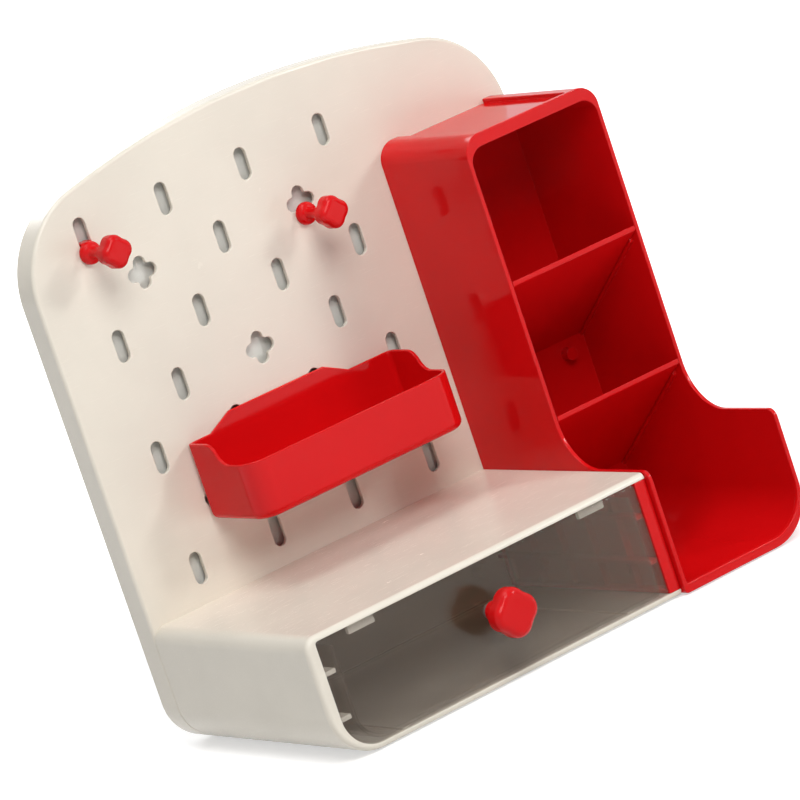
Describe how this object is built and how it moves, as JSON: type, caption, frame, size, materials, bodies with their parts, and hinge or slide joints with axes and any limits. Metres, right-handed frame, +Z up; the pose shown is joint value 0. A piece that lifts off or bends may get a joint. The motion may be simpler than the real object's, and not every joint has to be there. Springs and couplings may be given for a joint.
{
  "type": "pegboard desk organizer with a drawer",
  "caption": "Cream arched pegboard desk organizer with a smoke-clear drawer cabinet, a red stepped tower of slanted bays, a red hanging tray and red lobed pegs.",
  "frame": {"origin": "centre of the bounding box's bottom face, on the desk", "axes": "+Z up, the front with the drawer and knob faces -Y, +X towards the tower"},
  "size_m": [0.3, 0.183, 0.302],
  "materials": {
    "cream_shell": "satin",
    "grey_back": "matt",
    "red_shell": "gloss",
    "smoke_clear": "clear smoke",
    "screw_steel": "zinc plated",
    "foot_rubber": "matt"
  },
  "bodies": {
    "frame": {"pegboard_panel": "cream_shell", "back_cover": "grey_back", "cover_screws": "screw_steel", "cabinet_shell": "cream_shell", "cabinet_screws": "screw_steel", "end_panel": "red_shell", "tower_shell": "red_shell", "upper_divider": "red_shell", "lower_divider": "red_shell", "tower_screws": "screw_steel", "dock_screws": "screw_steel", "foot_left_front": "foot_rubber", "foot_left_rear": "foot_rubber", "foot_middle_front": "foot_rubber", "foot_middle_rear": "foot_rubber", "foot_right_front": "foot_rubber", "foot_right_rear": "foot_rubber"},
    "drawer": {"drawer_box": "smoke_clear", "drawer_front": "smoke_clear", "drawer_knob": "red_shell", "knob_screw": "screw_steel"},
    "tray": {"hanging_tray": "red_shell"},
    "left_peg": {"hook_left": "red_shell"},
    "right_peg": {"hook_right": "red_shell"}
  },
  "joints": [
    {"name": "drawer_slide", "type": "slide", "parent": "frame", "child": "drawer", "axis": [0, -1, 0], "range_m": [0, 0.12]},
    {"name": "tray_lift", "type": "slide", "parent": "frame", "child": "tray", "axis": [0, 0, 1], "range_m": [0, 0.008]},
    {"name": "hook_left_lift", "type": "slide", "parent": "frame", "child": "left_peg", "axis": [0, 0, 1], "range_m": [0, 0.008]},
    {"name": "hook_right_lift", "type": "slide", "parent": "frame", "child": "right_peg", "axis": [0, 0, 1], "range_m": [0, 0.008]}
  ]
}
